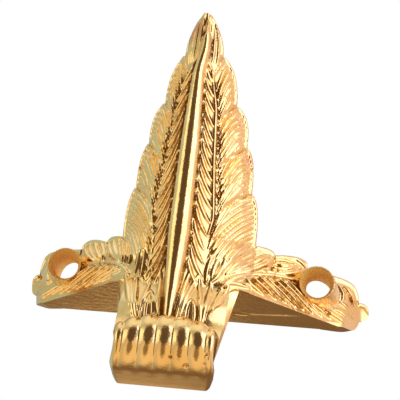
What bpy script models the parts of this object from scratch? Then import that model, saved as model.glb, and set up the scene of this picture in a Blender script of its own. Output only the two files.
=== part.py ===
"""A cast metal box corner: two leaf plates that lie on the sides of a box, a seat plate that carries
its bottom, and a scroll foot below the corner. One casting, one solid.

The box fills the +X, +Y, +Z corner. Its sides stand on the planes x = 0 and y = 0, its underside on z = 0,
and its corner is the origin. The casting is a mirror image of itself across the vertical plane x = y.

Sizes are in millimetres until the last step. Every shape is worked out in the foundry's own frame:
u runs across the corner, s runs out of it along the diagonal, z runs up.
"""

import math

import bmesh
import bpy
from mathutils import Vector

MM = 0.001
ROOT2 = math.sqrt(2.0)

# Overall sizes
TIP_HEIGHT = 30.9
WING_REACH = 29.35
FOOT_DROP = 12.2
PLATE_THICKNESS = 1.28
PLATE_REAR = 15.1
PLATE_HALF = 17.4
PLATE_REAR_HALF = 16.9
PLATE_INSET = 0.14

# Tall leaf: the notches of its lobed outline, as (distance from the corner, height), from the tip down
TIP = (0.12, TIP_HEIGHT)
TALL_NOTCHES = [(2.8, 26.4), (5.4, 21.1), (7.6, 16.5), (8.95, 11.25), (10.25, 5.45)]
# How far below its notch each lobe's upper edge meets the stem
TALL_DROPS = [5.2, 6.2, 7.9, 7.6, 2.9]
JOIN_HEIGHT = TALL_NOTCHES[-1][1]
# The stem on each half of the tall leaf, as (height, distance from the corner)
TALL_STEM = [(3.0, 2.4), (6.0, 3.2), (12.8, 2.4), (18.9, 1.9), (24.0, 0.7), (31.0, 0.1)]

# Side leaves: the upper outline of each as lobes (start, height there, end, rise, fall, sharpness).
# The casting's left leaf stands a little higher than its right one.
RIGHT_LOBES = [
    (10.25, 5.45, 13.2, 0.25, 0.50, 6),
    (13.2, 5.20, 18.5, 1.05, 0.65, 6),
    (18.5, 5.20, 27.5, 0.65, 2.25, 10),
    (27.5, 3.57, WING_REACH, 0.20, 1.00, 3),
]
LEFT_LOBES = [
    (10.25, 5.45, 13.2, 0.45, 0.50, 6),
    (13.2, 5.40, 18.6, 1.20, 1.00, 6),
    (18.6, 5.60, 27.9, 1.20, 2.40, 14),
    (27.9, 4.20, WING_REACH, 0.10, 1.30, 3),
]
LIP_HEIGHT = -1.22
LIP_END = 21.6
LIP_SLOPE = 0.4
LIP_CURL = 6
NUB_REACH = 27.6
NUB_HEIGHT = 1.15
NUB_LIFT = 0.25
LEAST_SPAN = 0.12
WING_STEM_RISE = 3.1
WING_STEM_START = 3.0
WING_STEM_BEND = 5.0
WING_TROUGH = 0.09
LOBE_LEAN = 1.2

# Thicknesses, measured square to the box's side
CORNER_THICKNESS = 1.4
TIP_THICKNESS = 0.85
EDGE_THICKNESS = 0.55
LIP_THICKNESS = 3.0
LIP_FLARE = 1.25
CROWN = 0.26
# Where the lip grows thick and thins again, as u
LIP_SWELL = (3.4, 6.2)
LIP_FADE = (17.6, 20.4)

# Midrib, a half-round bead on the corner, as (height, half width)
RIB_WIDTHS = [(-6.5, 0.5), (-3.0, 0.8), (3.0, 1.17), (14.0, 1.05), (20.0, 0.78), (26.0, 0.5), (31.0, 0.22)]
RIB_RISE = 0.45

# Leaf tongue on the front of the foot: half widths by height, and the arch that joins it to the lips
TONGUE_HALVES = [(-8.2, 3.6), (-6.2, 3.85), (-5.3, 4.1), (-4.4, 4.6), (-3.7, 5.1), (-3.0, 5.4), (-1.2, 5.55)]
TONGUE_TOP_HALF = 6.5
TONGUE_END = -8.2
TONGUE_THICKNESS = 0.95
TONGUE_TUCK = 0.9
TONGUE_FRONT = 2.0
TONGUE_ROUND = 0.055
FOLD_END = -5.2
ARCH_DEPTH = 1.3

# Foot and scroll
SCROLL_S = 2.9
SCROLL_Z = -9.25
SCROLL_RADIUS = FOOT_DROP + SCROLL_Z
SCROLL_TURNS = (math.radians(128.0), math.radians(-90.0))
GADROONS = 6
GADROON_DEPTH = 0.22
GADROON_FADE = (math.radians(-75.0), math.radians(-30.0))
ARCH_FADE = (math.radians(-10.0), math.radians(80.0))
END_START = 0.88
SCROLL_END_DROP = 1.3
# The neck's rows, as (height, how far it stands behind the tongue's front)
NECK_ROWS = [(-0.55, 1.6), (-1.2, 0.6), (-1.9, 0.5), (-2.6, 0.5), (-3.6, 0.5), (-4.6, 0.5), (-5.6, 0.5)]
NECK_HALF = 5.6
# Half widths of the scroll by how far its surface stands out along the diagonal
SCROLL_HALVES = [(1.0, 5.35), (2.9, 5.2), (4.5, 5.05), (5.9, 4.85)]
END_ROUND = 0.5
# Behind the scroll: the sole and the rear face, as (s, height, half width)
SOLE_BACK = -3.8
SOLE_EDGE = 0.7
SOLE_HALVES = [(0.9, 5.0), (-1.2, 4.85)]
SOLE_REAR_HALF = 4.6
FOOT_REAR = [(-3.9, -9.0, 5.1), (-4.1, -6.5, 5.35), (-4.4, -4.0, 5.5), (-4.8, -2.2, 5.6), (-5.0, -0.55, 5.6)]
# Each side face of the foot is a fan about this (s, height), at this half width
CHEEK_CENTRE = (-1.0, -10.0)
CHEEK_HALF = 5.0
# The foot was cast a little askew: its middle line shifts across the corner with s
FOOT_SHIFT = -0.13
FOOT_SKEW = 0.107

# Screw bosses, round tubes that run along the diagonal
BOSS_U = 14.64
BOSS_Z = 2.65
BOSS_RIM_S = -10.1
BOSS_RIM_RADIUS = 2.08
BOSS_BASE_RADIUS = 2.4
BOSS_TAIL = 0.3
HOLE_RADIUS = 1.45
SINK_RADIUS = 1.85
SINK_DEPTH = 1.3
BOSS_TILT = math.radians(4.5)
BOSS_FAN = math.radians(4.5)

# Mesh density
ROWS_PER_LOBE = 8
ROWS_BELOW_JOIN = 9
COLUMNS_TONGUE = 8
COLUMNS_JOIN = 4
COLUMNS_WING = 34
ROWS_TONGUE = 9
PLATE_STEPS = 15
SCROLL_STEPS = 16
SOLE_EDGE_STEPS = 3
BOSS_SIDES = 24


def smooth(edge0, edge1, value):
    """Rise from 0 at edge0 to 1 at edge1 with level ends."""
    t = min(1.0, max(0.0, (value - edge0) / (edge1 - edge0)))
    return t * t * (3.0 - 2.0 * t)


def between(stations, at):
    """Straight-line reading of a short list of (position, value)."""
    if at <= stations[0][0]:
        return stations[0][1]
    for (p0, v0), (p1, v1) in zip(stations, stations[1:]):
        if at <= p1:
            return v0 + (v1 - v0) * (at - p0) / (p1 - p0)
    return stations[-1][1]


def point(u, s, z):
    """Foundry frame to the part's own frame, in metres."""
    return Vector(((u - s) / ROOT2, -(u + s) / ROOT2, z)) * MM


def tall_reach(z):
    """Distance from the corner to the tall leaf's edge at a height: quarter-ellipse shoulders."""
    upper = TIP
    for index, lower in enumerate(TALL_NOTCHES):
        if z >= lower[1]:
            t = min(1.0, max(0.0, (upper[1] - z) / (upper[1] - lower[1])))
            power = 2 if index < 2 else 3
            return upper[0] + (lower[0] - upper[0]) * math.sqrt(1.0 - (1.0 - t) ** power)
        upper = lower
    return TALL_NOTCHES[-1][0]


def tall_half(z):
    """Half width of the tall leaf across the corner."""
    return (tall_reach(max(z, JOIN_HEIGHT)) + EDGE_THICKNESS) / ROOT2


def wing_lobes(side):
    """The lobes of one side leaf: side is positive for the right one."""
    return RIGHT_LOBES if side >= 0.0 else LEFT_LOBES


def wing_top(w, side):
    """Height of a side leaf's scalloped upper edge at a distance from the corner."""
    lobes = wing_lobes(side)
    if w <= lobes[0][0]:
        return JOIN_HEIGHT
    for start, height, end, rise, fall, sharpness in lobes:
        if w <= end:
            t = (w - start) / (end - start)
            drop = fall * (1.0 - math.sqrt(max(0.0, 1.0 - t ** sharpness)))
            return height + rise * math.sin(0.5 * math.pi * t) - drop
    return lobes[-1][1] - lobes[-1][4] + lobes[-1][3]


def wing_low(w, side):
    """Height of a side leaf's lower edge: a straight lip, a curl up to the nub, then the tip lobe."""
    if w <= LIP_END:
        return LIP_HEIGHT
    if w <= NUB_REACH:
        t = (w - LIP_END) / (NUB_REACH - LIP_END)
        return LIP_HEIGHT + (NUB_HEIGHT - LIP_HEIGHT) * (LIP_SLOPE * t + (1.0 - LIP_SLOPE) * t ** LIP_CURL)
    t = min(1.0, (w - NUB_REACH) / (WING_REACH - NUB_REACH))
    start = NUB_HEIGHT + NUB_LIFT
    tip = wing_top(WING_REACH, side) - LEAST_SPAN
    return start + (tip - start) * (1.0 - math.sqrt(1.0 - t * t))


def lip_extra(u):
    """How much thicker than the upper edge the lower lip is, across the corner."""
    return (LIP_THICKNESS - EDGE_THICKNESS) * smooth(*LIP_SWELL, u) * (1.0 - smooth(*LIP_FADE, u))


def lobe_place(w, z):
    """Place across a lobe of the tall leaf, 0 at its upper edge and 1 at its lower one."""
    stem = between(TALL_STEM, z)
    reach = tall_reach(max(z, JOIN_HEIGHT))
    r = min(1.0, max(0.0, (w - stem) / max(0.3, reach - stem)))
    above = TIP_HEIGHT + 1.0
    for (_, notch), drop in zip(TALL_NOTCHES, TALL_DROPS):
        edge = notch - drop * (1.0 - math.sqrt(r))
        if z >= edge:
            return (above - z) / (above - edge), r
        above = edge
    return 0.5, 0.0


def tall_crown(w, z):
    """Swell of the lobes of the tall leaf, with a valley along each shared edge."""
    q, r = lobe_place(w, z)
    return CROWN * (0.6 - abs(2.0 * q - 1.0) ** 2.5) * smooth(0.05, 0.4, r)


def wing_crown(w, z, side):
    """Swell of a side leaf above its stem, and the shallow trough below it."""
    stem = WING_STEM_RISE * (1.0 - math.exp(-(w - WING_STEM_START) / WING_STEM_BEND))
    if z < stem:
        return -WING_TROUGH * smooth(0.0, 0.5, stem - z)
    start, end = next(((lobe[0], lobe[2]) for lobe in wing_lobes(side) if w <= lobe[2]), (NUB_REACH, WING_REACH))
    top = wing_top(w, side)
    along = (w + LOBE_LEAN * (top - z) / max(0.5, top) - start) / (end - start)
    return CROWN * (0.6 - abs(2.0 * min(1.0, max(0.0, along)) - 1.0) ** 3)


def thickness(u, z):
    """Thickness square to the box's side, at a place across the corner and a height."""
    a = abs(u)
    w = a * ROOT2 - 1.0
    half = tall_half(z)
    inner = max(0.0, 1.0 - (a / half) ** 2)
    corner = between([(0.6 * TIP_HEIGHT, CORNER_THICKNESS), (TIP_HEIGHT, TIP_THICKNESS)], z)
    base = EDGE_THICKNESS + (corner - EDGE_THICKNESS) * inner
    top = wing_top(w, u)
    low = wing_low(w, u)
    q = min(1.0, max(0.0, (z - low) / max(0.3, top - low)))
    base += lip_extra(a) * (1.0 - q) ** LIP_FLARE
    crown = wing_crown(w, z, u)
    if a > half:
        return base + crown * smooth(0.0, 0.25, 1.0 - q)
    crown *= smooth(4.0, 6.5, a) * (1.0 - smooth(JOIN_HEIGHT - 3.0, JOIN_HEIGHT, z))
    tall = tall_crown(w, z) * smooth(JOIN_HEIGHT - 4.0, JOIN_HEIGHT, z)
    return base + tall + crown * smooth(0.0, 0.1, 1.0 - a / half)


def midrib(u, ridge, z):
    """Round the ridge of the corner into the midrib bead; ridge is s on the corner without it."""
    half = between(RIB_WIDTHS, z)
    a = abs(u)
    if a >= half:
        return None
    return ridge - half + (half + RIB_RISE) * math.sqrt(1.0 - (a / half) ** 2)


def leaf_front(u, z):
    """Outer surface above the seat plate's level, as s."""
    bead = midrib(u, ROOT2 * thickness(0.0, z), z)
    flank = ROOT2 * thickness(u, z) - abs(u)
    return flank if bead is None else max(bead, flank)


def arch_flare(z):
    """How far the arch between the foot and a lip widens the foot at a height."""
    arch = min(1.0, max(0.0, 1.0 - (LIP_HEIGHT - z) / ARCH_DEPTH))
    return (TONGUE_TOP_HALF - TONGUE_HALVES[-1][1]) * (1.0 - math.sqrt(1.0 - arch * arch))


def tongue_half(z):
    """Half width of the tongue, with the arch that turns it into the lip."""
    return between(TONGUE_HALVES, z) + arch_flare(z)


def fold_front(u, z):
    """The foot's front below the leaves, as s: the corner's fold opens out over the scroll."""
    open_out = smooth(LIP_HEIGHT, FOLD_END, z)
    top = ROOT2 * thickness(u, LIP_HEIGHT) - abs(u)
    return top + (TONGUE_FRONT - TONGUE_ROUND * u * u - top) * open_out


def tongue_front(u, z):
    """Outer surface of the tongue, as s, with the midrib running down it."""
    flank = fold_front(u, z)
    bead = midrib(u, fold_front(0.0, z), z)
    return flank if bead is None else max(bead, flank)


class Sheet:
    """Collects points by key, so that neighbouring blocks share their edges."""

    def __init__(self):
        self.mesh = bmesh.new()
        self.points = {}

    def vertex(self, key, place):
        if key not in self.points:
            self.points[key] = self.mesh.verts.new(place)
        return self.points[key]

    def face(self, keys):
        ring = []
        for key in keys:
            vert = self.points[key]
            if vert not in ring:
                ring.append(vert)
        if len(ring) > 2:
            self.mesh.faces.new(ring)


def tall_rows():
    """Heights of the tall leaf's rows, close together under each notch, from the join up."""
    heights = []
    upper = TIP
    for lower in TALL_NOTCHES:
        for step in range(ROWS_PER_LOBE):
            t = (step / ROWS_PER_LOBE) ** 1.5
            heights.append(upper[1] - (upper[1] - lower[1]) * t)
        upper = lower
    heights.append(JOIN_HEIGHT)
    return heights[::-1]


def centre_columns():
    """Places across the corner at the join, from one edge of the tall leaf to the other."""
    edge = tall_half(JOIN_HEIGHT)
    inner = [TONGUE_TOP_HALF * i / COLUMNS_TONGUE for i in range(COLUMNS_TONGUE + 1)]
    outer = [TONGUE_TOP_HALF + (edge - TONGUE_TOP_HALF) * i / COLUMNS_JOIN for i in range(1, COLUMNS_JOIN + 1)]
    right = inner + outer
    return [-u for u in right[:0:-1]] + right


def wing_columns():
    """Places across the corner along a side leaf, close together at its tip."""
    start = tall_half(JOIN_HEIGHT)
    end = (WING_REACH + EDGE_THICKNESS) / ROOT2
    return [start + (end - start) * (1.0 - (1.0 - i / COLUMNS_WING) ** 1.15) for i in range(COLUMNS_WING + 1)]


def wing_span(u, side):
    """Lower and upper edge of a side leaf's column."""
    lip = EDGE_THICKNESS + lip_extra(u)
    low = wing_low(max(0.0, u * ROOT2 - lip), side)
    top = wing_top(u * ROOT2 - EDGE_THICKNESS, side)
    return low, max(top, low + LEAST_SPAN)


def on_wall(sheet, key, u, s, z):
    """A point on the box's side, straight behind the point (u, s, z) of the outer surface."""
    side = 1.0 if u >= 0.0 else -1.0
    w = max(0.0, (abs(u) - s) / ROOT2)
    return sheet.vertex(key, point(side * w / ROOT2, -w / ROOT2, z))


def leaf_body():
    """The two leaf plates and the tongue as one closed solid."""
    sheet = Sheet()
    columns = centre_columns()
    count = len(columns)
    edge = columns[-1]
    rise = [LIP_HEIGHT + (JOIN_HEIGHT - LIP_HEIGHT) * i / ROWS_BELOW_JOIN for i in range(ROWS_BELOW_JOIN + 1)]
    tall = tall_rows()[1:]
    rows = rise + tall

    for j, z in enumerate(rows):
        half = tall_half(z) if z > JOIN_HEIGHT else edge
        for i, u in enumerate(columns):
            across = u / edge * half
            sheet.vertex(("c", j, i), point(across, leaf_front(across, z), z))
    for j in range(len(rows) - 1):
        for i in range(count - 1):
            sheet.face([("c", j, i), ("c", j, i + 1), ("c", j + 1, i + 1), ("c", j + 1, i)])

    wing = wing_columns()
    last = len(wing) - 1
    for side, own in ((1, count - 1), (-1, 0)):
        for k, u in enumerate(wing):
            low, top = wing_span(u, side)
            for j in range(ROWS_BELOW_JOIN + 1):
                z = low + (top - low) * j / ROWS_BELOW_JOIN
                key = ("c", j, own) if k == 0 else ("w", side, k, j)
                sheet.vertex(key, point(side * u, leaf_front(side * u, z), z))
        for k in range(last):
            for j in range(ROWS_BELOW_JOIN):
                a = ("c", j, own) if k == 0 else ("w", side, k, j)
                b = ("c", j + 1, own) if k == 0 else ("w", side, k, j + 1)
                sheet.face([a, ("w", side, k + 1, j), ("w", side, k + 1, j + 1), b])

    tongue_first = COLUMNS_JOIN
    tongue_last = count - 1 - COLUMNS_JOIN
    tongue_count = tongue_last - tongue_first
    drop = [LIP_HEIGHT + (TONGUE_END - LIP_HEIGHT) * (j / ROWS_TONGUE) for j in range(ROWS_TONGUE + 1)]
    for j, z in enumerate(drop):
        for i in range(tongue_count + 1):
            across = tongue_half(z) * (2.0 * i / tongue_count - 1.0)
            key = ("c", 0, tongue_first + i) if j == 0 else ("t", j, i)
            sheet.vertex(key, point(across, tongue_front(across, z), z))
            inner = across - TONGUE_TUCK * (2.0 * i / tongue_count - 1.0)
            sheet.vertex(("b", j, i), point(inner, fold_front(inner, z) - TONGUE_THICKNESS, z))
    for j in range(ROWS_TONGUE):
        for i in range(tongue_count):
            top = [("c", 0, tongue_first + i), ("c", 0, tongue_first + i + 1)]
            upper = top if j == 0 else [("t", j, i), ("t", j, i + 1)]
            sheet.face(upper + [("t", j + 1, i + 1), ("t", j + 1, i)])
            sheet.face([("b", j, i), ("b", j + 1, i), ("b", j + 1, i + 1), ("b", j, i + 1)])
        for i, own in ((0, tongue_first), (tongue_count, tongue_last)):
            upper = ("c", 0, own) if j == 0 else ("t", j, i)
            sheet.face([upper, ("t", j + 1, i), ("b", j + 1, i), ("b", j, i)])
    for i in range(tongue_count):
        end = ROWS_TONGUE
        sheet.face([("t", end, i), ("t", end, i + 1), ("b", end, i + 1), ("b", end, i)])

    def behind(key, name):
        vert = sheet.points[key].co / MM
        u = (vert.x - vert.y) / ROOT2
        s = -(vert.x + vert.y) / ROOT2
        on_wall(sheet, name, u, s, vert.z)
        return name

    top_row = len(rows) - 1
    sheet.vertex("foot of corner", point(0.0, 0.0, LIP_HEIGHT))
    sheet.vertex("head of corner", point(0.0, 0.0, rows[-1]))
    for side, own, first in ((1, count - 1, tongue_last), (-1, 0, tongue_first)):
        loop = [("c", 0, i) for i in range(first, own + side, side)]
        loop += [("w", side, k, 0) for k in range(1, last + 1)]
        loop += [("w", side, last, j) for j in range(1, ROWS_BELOW_JOIN + 1)]
        loop += [("w", side, k, ROWS_BELOW_JOIN) for k in range(last - 1, 0, -1)]
        loop += [("c", j, own) for j in range(ROWS_BELOW_JOIN, top_row + 1)]
        rear = [behind(key, ("r", side, n)) for n, key in enumerate(loop)]
        for n in range(len(loop) - 1):
            sheet.face([loop[n], loop[n + 1], rear[n + 1], rear[n]])
        sheet.face(["foot of corner"] + rear + ["head of corner"])
        if side == 1:
            right_first, right_last = rear[0], rear[-1]
        else:
            left_first, left_last = rear[0], rear[-1]
    crest = [("c", top_row, i) for i in range(count)]
    sheet.face(crest + [right_last, "head of corner", left_last])
    base = [("b", 0, i) for i in range(tongue_count + 1)]
    sheet.face([("c", 0, tongue_first)] + base + [("c", 0, tongue_last), right_first, "foot of corner", left_first])
    return sheet.mesh


def plate_outline(level):
    """The seat plate's outline: just behind the leaves' front at a level, straight at the rear."""
    outline = []
    for n in range(-PLATE_STEPS, PLATE_STEPS + 1):
        u = PLATE_HALF * n / PLATE_STEPS
        outline.append((u, ROOT2 * (thickness(u, level) - PLATE_INSET) - abs(u)))
    return outline + [(PLATE_REAR_HALF, -PLATE_REAR), (-PLATE_REAR_HALF, -PLATE_REAR)]


def seat_plate():
    """The flat plate under the box."""
    mesh = bmesh.new()
    lower = [mesh.verts.new(point(u, s, -PLATE_THICKNESS)) for u, s in plate_outline(LIP_HEIGHT)]
    upper = [mesh.verts.new(point(u, s, 0.0)) for u, s in plate_outline(0.0)]
    mesh.faces.new(lower)
    mesh.faces.new(upper[::-1])
    total = len(lower)
    for n in range(total):
        follow = (n + 1) % total
        mesh.faces.new([lower[n], lower[follow], upper[follow], upper[n]])
    return mesh


def foot_profile():
    """Side view of the foot as (s, z, half width, turn on the scroll or None), once round."""
    profile = [(fold_front(0.0, z) - inset, z, NECK_HALF + arch_flare(z), None) for z, inset in NECK_ROWS]
    start, end = SCROLL_TURNS
    for n in range(SCROLL_STEPS + 1):
        turn = start + (end - start) * n / SCROLL_STEPS
        s = SCROLL_S + SCROLL_RADIUS * math.cos(turn)
        profile.append((s, SCROLL_Z + SCROLL_RADIUS * math.sin(turn), between(SCROLL_HALVES, s), turn))
    profile += [(s, -FOOT_DROP, half, None) for s, half in SOLE_HALVES]
    for n in range(SOLE_EDGE_STEPS + 1):
        turn = math.radians(-90.0 - 90.0 * n / SOLE_EDGE_STEPS)
        profile.append((SOLE_BACK + SOLE_EDGE * (1.0 + math.cos(turn)),
                        -FOOT_DROP + SOLE_EDGE * (1.0 + math.sin(turn)), SOLE_REAR_HALF, None))
    return profile + [(s, z, half, None) for s, z, half in FOOT_REAR]


def gadroons(f, turn):
    """How far the scroll's surface is drawn in at a place across it, -1 to 1, and a turn round it."""
    ridge = GADROON_DEPTH * (1.0 - abs(math.cos(0.5 * math.pi * GADROONS * (f + 1.0))))
    ridge *= smooth(GADROON_FADE[0], GADROON_FADE[1], turn)
    arch = SCROLL_END_DROP * abs(f) ** 2.6 * smooth(ARCH_FADE[0], ARCH_FADE[1], turn)
    inward = END_ROUND * max(0.0, (abs(f) - END_START) / (1.0 - END_START)) ** 2
    return ridge + arch + inward


def foot_body():
    """The foot: its side view carried across, with gadroons round the scroll and rounded ends."""
    mesh = bmesh.new()
    profile = foot_profile()
    columns = GADROONS * 4
    rings = []
    for i in range(columns + 1):
        f = 2.0 * i / columns - 1.0
        ring = []
        for order, (s, z, half, turn) in enumerate(profile):
            if turn is not None:
                drawn_in = gadroons(f, turn)
                s -= drawn_in * math.cos(turn)
                z -= drawn_in * math.sin(turn)
            u = f * half + FOOT_SHIFT + FOOT_SKEW * s
            if order < len(NECK_ROWS):
                s += fold_front(u, z) - fold_front(0.0, z)
            ring.append(mesh.verts.new(point(u, s, z)))
        rings.append(ring)
    total = len(profile)
    for a, b in zip(rings, rings[1:]):
        for n in range(total):
            follow = (n + 1) % total
            mesh.faces.new([a[n], a[follow], b[follow], b[n]])
    s, z = CHEEK_CENTRE
    for ring, half in ((rings[0], -CHEEK_HALF), (rings[-1], CHEEK_HALF)):
        centre = mesh.verts.new(point(half + FOOT_SHIFT + FOOT_SKEW * s, s, z))
        for n in range(total):
            mesh.faces.new([ring[n], ring[(n + 1) % total], centre])
    return mesh


def turned(stations, tail=None):
    """A closed round body along the boss from (s, radius) stations; its last ring may lie on the plane u + s = tail.

    The axis runs back from the rim, rising by BOSS_TILT and spreading from the corner by BOSS_FAN.
    """
    mesh = bmesh.new()
    rings = []
    for order, (s, radius) in enumerate(stations):
        ring = []
        for n in range(BOSS_SIDES):
            angle = 2.0 * math.pi * n / BOSS_SIDES
            across = radius * math.cos(angle)
            depth = s
            if tail is not None and order == len(stations) - 1:
                depth = tail - BOSS_U - across
            back = BOSS_RIM_S - depth
            u = BOSS_U + across + math.tan(BOSS_FAN) * back
            z = BOSS_Z + radius * math.sin(angle) + math.tan(BOSS_TILT) * back
            ring.append(mesh.verts.new(point(u, depth, z)))
        rings.append(ring)
    for a, b in zip(rings, rings[1:]):
        for n in range(BOSS_SIDES):
            follow = (n + 1) % BOSS_SIDES
            mesh.faces.new([a[n], a[follow], b[follow], b[n]])
    mesh.faces.new(rings[0])
    mesh.faces.new(rings[-1][::-1])
    return mesh


def mirrored(mesh):
    """The same body on the other side of the plane x = y."""
    copy = mesh.copy()
    for vert in copy.verts:
        vert.co.x, vert.co.y = vert.co.y, vert.co.x
    return copy


def make_object(name, mesh, material=None):
    """Turn a bmesh into an object of triangles with its faces pointing out."""
    bmesh.ops.recalc_face_normals(mesh, faces=mesh.faces)
    bmesh.ops.triangulate(mesh, faces=mesh.faces, ngon_method="EAR_CLIP")
    data = bpy.data.meshes.new(name)
    mesh.to_mesh(data)
    mesh.free()
    obj = bpy.data.objects.new(name, data)
    bpy.context.scene.collection.objects.link(obj)
    if material is not None:
        data.materials.append(material)
    return obj


def combine(target, name, bodies, operation):
    """Add a group of bodies to the casting in one pass, or cut them away."""
    group = bpy.data.collections.new(name)
    bpy.context.scene.collection.children.link(group)
    for tool in bodies:
        bpy.context.scene.collection.objects.unlink(tool)
        group.objects.link(tool)
        tool.hide_render = True
        tool.display_type = "WIRE"
    modifier = target.modifiers.new(name, "BOOLEAN")
    modifier.operation = operation
    modifier.solver = "EXACT"
    modifier.operand_type = "COLLECTION"
    modifier.collection = group


def gold():
    """Polished gold plating."""
    material = bpy.data.materials.new("gold_plating")
    material.use_nodes = True
    shader = material.node_tree.nodes["Principled BSDF"]
    shader.inputs["Base Color"].default_value = (0.84, 0.58, 0.22, 1.0)
    shader.inputs["Metallic"].default_value = 1.0
    shader.inputs["Roughness"].default_value = 0.2
    return material


def build():
    for obj in list(bpy.data.objects):
        bpy.data.objects.remove(obj)
    for group in list(bpy.data.collections):
        bpy.data.collections.remove(group)
    casting = make_object("box_corner", leaf_body(), gold())
    boss = [(BOSS_RIM_S, BOSS_RIM_RADIUS), (BOSS_RIM_S - 1.2, BOSS_RIM_RADIUS + 0.06), (0.0, BOSS_BASE_RADIUS)]
    sink_slope = (SINK_RADIUS - HOLE_RADIUS) / SINK_DEPTH
    bore = [(BOSS_RIM_S + 1.0, SINK_RADIUS + sink_slope), (BOSS_RIM_S - SINK_DEPTH, HOLE_RADIUS),
            (BOSS_RIM_S - 12.0, HOLE_RADIUS)]
    added = [("seat_plate", seat_plate()), ("foot", foot_body()), ("right_boss", turned(boss, BOSS_TAIL)),
             ("left_boss", mirrored(turned(boss, BOSS_TAIL)))]
    bores = [("right_bore", turned(bore)), ("left_bore", mirrored(turned(bore)))]
    combine(casting, "added", [make_object(name, mesh) for name, mesh in added], "UNION")
    combine(casting, "bores", [make_object(name, mesh) for name, mesh in bores], "DIFFERENCE")
    triangulate = casting.modifiers.new("triangles", "TRIANGULATE")
    triangulate.quad_method = "BEAUTY"


build()
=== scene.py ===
"""Looks of the metal box corner: the casting with its veins, beaded rims and pits, in gold plating.

Sizes are in millimetres in the foundry's frame: u across the corner, s out of it along the diagonal, z up.
The outer surface is one height field over the (u, z) plane, with the CAD's outline and swell and the relief
added on it. The seat plate, scroll foot and bosses are joined to it.
"""

import math

import bmesh
import bpy
import numpy as np
from mathutils import Matrix, Vector
from mathutils.geometry import delaunay_2d_cdt


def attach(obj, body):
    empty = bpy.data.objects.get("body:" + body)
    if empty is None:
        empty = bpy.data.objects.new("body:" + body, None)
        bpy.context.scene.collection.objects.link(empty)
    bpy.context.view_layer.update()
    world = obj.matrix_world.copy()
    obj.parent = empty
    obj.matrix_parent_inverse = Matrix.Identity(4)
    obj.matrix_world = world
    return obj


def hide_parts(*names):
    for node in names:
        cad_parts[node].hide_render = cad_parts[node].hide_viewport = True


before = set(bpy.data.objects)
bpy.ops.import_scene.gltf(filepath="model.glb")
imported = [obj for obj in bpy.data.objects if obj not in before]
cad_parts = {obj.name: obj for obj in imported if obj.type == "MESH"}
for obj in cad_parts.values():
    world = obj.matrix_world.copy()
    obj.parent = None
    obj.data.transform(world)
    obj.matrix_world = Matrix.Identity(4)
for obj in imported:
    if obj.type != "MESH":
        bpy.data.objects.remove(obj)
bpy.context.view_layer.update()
scene = bpy.context.scene

MM = 0.001
ROOT2 = math.sqrt(2.0)

# Camera, from the fit to the photograph
CAMERA_TURN = math.radians(7.54)
CAMERA_RISE = math.radians(-22.73)
CAMERA_ROLL = math.radians(6.70)
CAMERA_DISTANCE = 104.52
CAMERA_AIM = (1.641, 7.076)
CAMERA_LENS = 90.0
CAMERA_SENSOR = 36.0
CAMERA_CLIP = 0.001
FLOOR_Z = -46.0
FLOOR_REACH = 1200.0
FLOOR_TINT = (0.86, 0.86, 0.85, 1.0)

# Outline and thicknesses, as in the CAD. The tip leaflet, the lip's swell, the gadroons and the sole's ends
# depart from it by some tenths of a millimetre, as the photograph shows them
TIP_HEIGHT = 30.9
WING_REACH = 29.35
FOOT_DROP = 12.2
PLATE_THICKNESS = 1.28
PLATE_REAR = 15.1
PLATE_HALF = 17.4
PLATE_REAR_HALF = 16.9
PLATE_INSET = 0.14
PLATE_RIB_INSET = 0.4
PLATE_RIB_SPAN = (3.0, 5.0)
TIP = (0.3, TIP_HEIGHT)
TALL_NOTCHES = [(2.6, 26.4), (5.4, 21.1), (7.6, 16.5), (8.95, 11.25), (10.25, 5.45)]
TALL_DROPS = [5.2, 6.2, 7.9, 7.6, 2.9]
JOIN_HEIGHT = TALL_NOTCHES[-1][1]
TALL_STEM = [(3.0, 2.4), (6.0, 3.2), (12.8, 2.4), (18.9, 1.9), (24.0, 0.7), (31.0, 0.1)]
RIGHT_LOBES = [
    (10.25, 5.45, 13.2, 0.25, 0.50, 6),
    (13.2, 5.20, 18.5, 1.05, 0.65, 6),
    (18.5, 5.20, 27.5, 0.65, 2.25, 10),
    (27.5, 3.57, WING_REACH, 0.20, 1.00, 3),
]
LEFT_LOBES = [
    (10.25, 5.45, 13.2, 0.45, 0.50, 6),
    (13.2, 5.40, 18.6, 1.20, 1.00, 6),
    (18.6, 5.60, 27.9, 1.20, 2.40, 14),
    (27.9, 4.20, WING_REACH, 0.10, 1.30, 3),
]
LIP_HEIGHT = -1.22
LIP_END = 21.6
LIP_SLOPE = 0.4
LIP_CURL = 6
NUB_REACH = 27.6
NUB_HEIGHT = 1.15
NUB_LIFT = 0.25
LEAST_SPAN = 0.12
LEAST_WIDTH = 0.3
LEAST_TOP = 0.5
WING_STEM_RISE = 3.1
WING_STEM_START = 3.0
WING_STEM_BEND = 5.0
WING_TROUGH = 0.09
LOBE_LEAN = 1.2
LOBE_ROOT = (0.05, 0.4)
CORNER_THICKNESS = 1.4
TAPER_START = 0.6 * TIP_HEIGHT
TIP_THICKNESS = 0.85
TIP_ROUND = 0.15
EDGE_THICKNESS = 0.55
LIP_THICKNESS = 3.0
LIP_FLARE = 1.25
CROWN = 0.26
CROWN_MEAN = 0.6
LIP_SWELL = (1.5, 7.5)
LIP_FADE = (17.6, 20.4)
RIB_WIDTHS = [(-6.5, 0.5), (-3.0, 0.8), (3.0, 1.17), (14.0, 1.05), (20.0, 0.78), (26.0, 0.5), (31.0, 0.22)]
RIB_RISE = 0.45
RIB_FADE = (27.0, 29.5)
RIB_SHIFT = 0.42
RIB_SHIFT_START = (22.0, 26.0)
RIB_SHIFT_END = (27.0, 30.5)
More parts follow.
